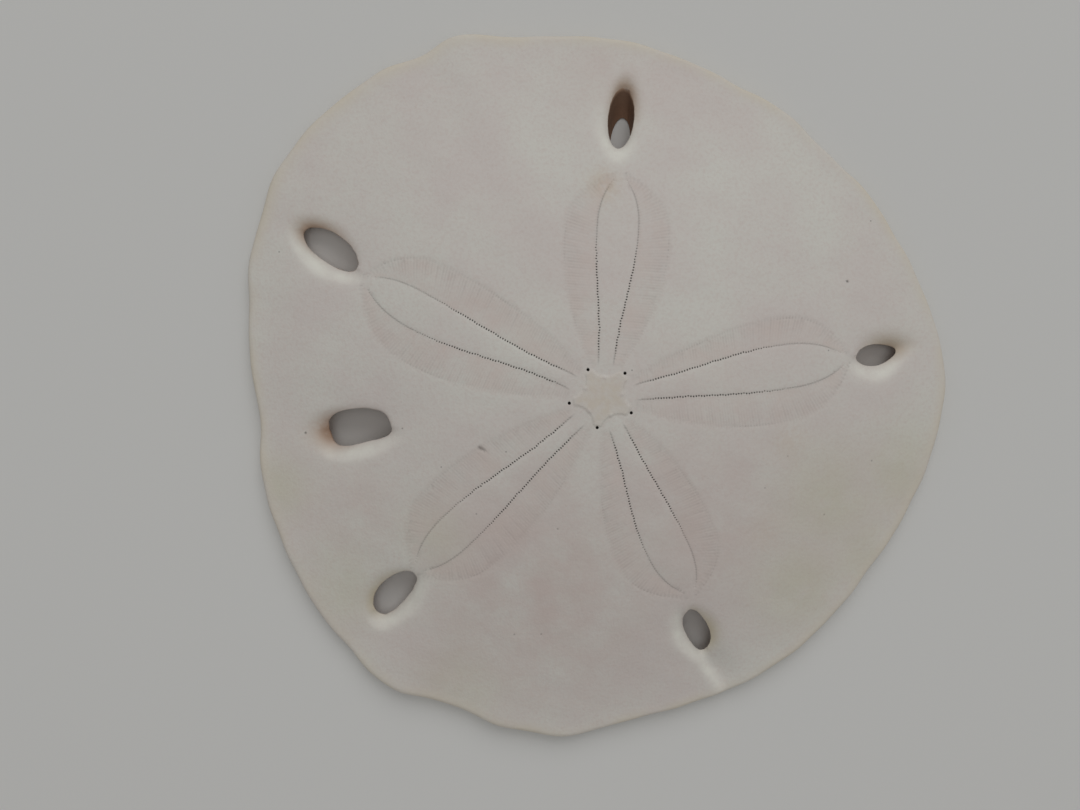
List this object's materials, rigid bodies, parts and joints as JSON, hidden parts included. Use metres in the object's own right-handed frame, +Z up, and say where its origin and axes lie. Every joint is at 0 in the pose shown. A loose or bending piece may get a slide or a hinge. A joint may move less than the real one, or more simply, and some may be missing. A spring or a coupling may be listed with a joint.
{
  "type": "sand dollar",
  "caption": "Dried keyhole sand dollar: a low, pale disc with a petal flower, a pored star and slots through it, lying flat.",
  "frame": {"origin": "middle of the outline on the flat underside, 1.5 mm to the animal's left of the foot of its apex", "axes": "+Z up from the mouth side to the petal side; +X towards the front lunule, opposite the rear lunule between the two hind petals; +Y towards the animal's left"},
  "size_m": [0.1296, 0.1327, 0.0154],
  "materials": {
    "bleached_calcite": "matte, bone-dry and chalky, with fine tubercles"
  },
  "bodies": {
    "root": {"sand_dollar": "bleached_calcite"}
  },
  "joints": []
}
